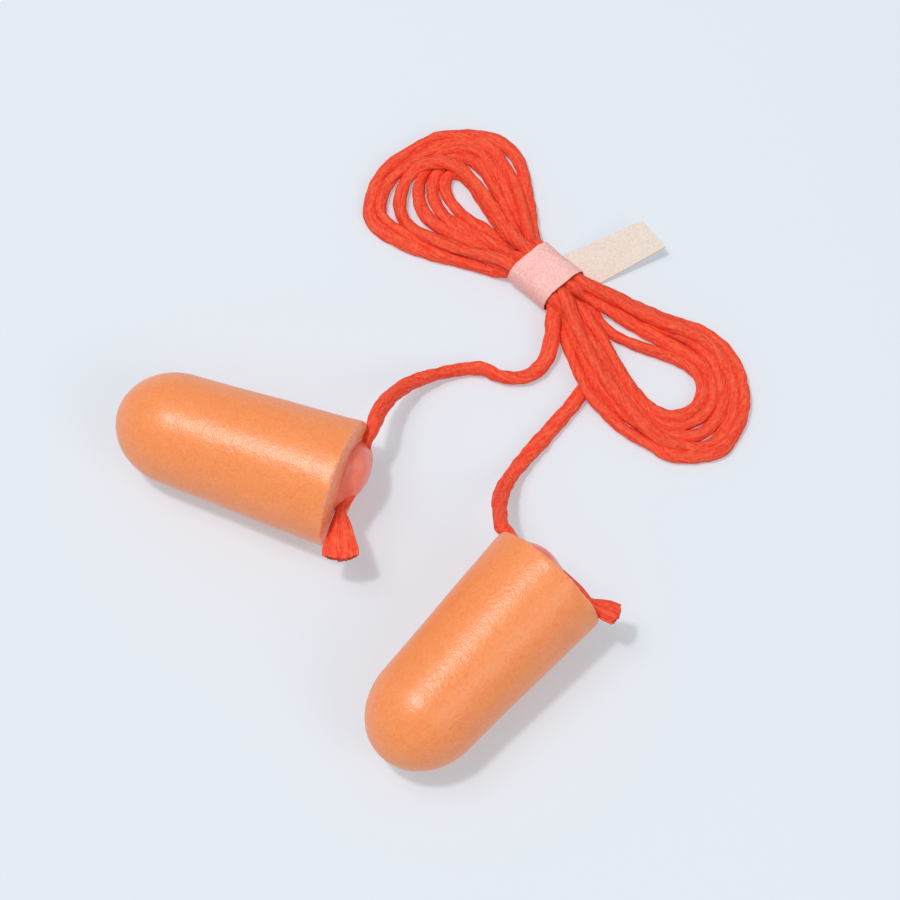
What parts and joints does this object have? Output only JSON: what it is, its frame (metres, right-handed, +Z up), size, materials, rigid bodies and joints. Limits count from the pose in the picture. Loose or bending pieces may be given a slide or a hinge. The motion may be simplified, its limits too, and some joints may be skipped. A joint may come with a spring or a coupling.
{
  "type": "corded foam ear plugs",
  "caption": "Bullet-shaped soft foam ear plugs joined by a limp twisted cord, which is wound in a hank and tied with a paper band.",
  "frame": {"origin": "on the table under the middle of the paper band, which ties the hank of cord", "axes": "+X to the right and +Y away from the viewer along the table, +Z up from the table; the plugs lie towards -Y"},
  "size_m": [0.0654, 0.0722, 0.0131],
  "materials": {
    "foam": "matte",
    "cord": "matte",
    "glue": "satin",
    "paper": "matte",
    "tab_paper": "matte"
  },
  "bodies": {
    "hank": {"cord_hank": "cord", "left_lead": "cord", "right_lead": "cord", "paper_band": "paper"},
    "left_plug": {"left_foam_plug": "foam", "left_glue_cap": "glue", "left_frayed_end": "cord"},
    "right_plug": {"right_foam_plug": "foam", "right_glue_cap": "glue", "right_frayed_end": "cord"},
    "tab": {"paper_tab": "tab_paper"}
  },
  "joints": [
    {"name": "left_plug_swing", "type": "hinge", "parent": "hank", "child": "left_plug", "pos_m": [-0.01736, -0.01822, 0.0066], "axis": [0, 0, 1], "range_deg": [-60, 35]},
    {"name": "right_plug_swing", "type": "hinge", "parent": "hank", "child": "right_plug", "pos_m": [-0.0048, -0.02896, 0.0066], "axis": [0, 0, 1], "range_deg": [-20, 60]},
    {"name": "tab_lift", "type": "hinge", "parent": "hank", "child": "tab", "pos_m": [0.0015, 0.00215, 0.00024], "axis": [0.7431, -0.6691, 0], "range_deg": [0, 60]}
  ]
}
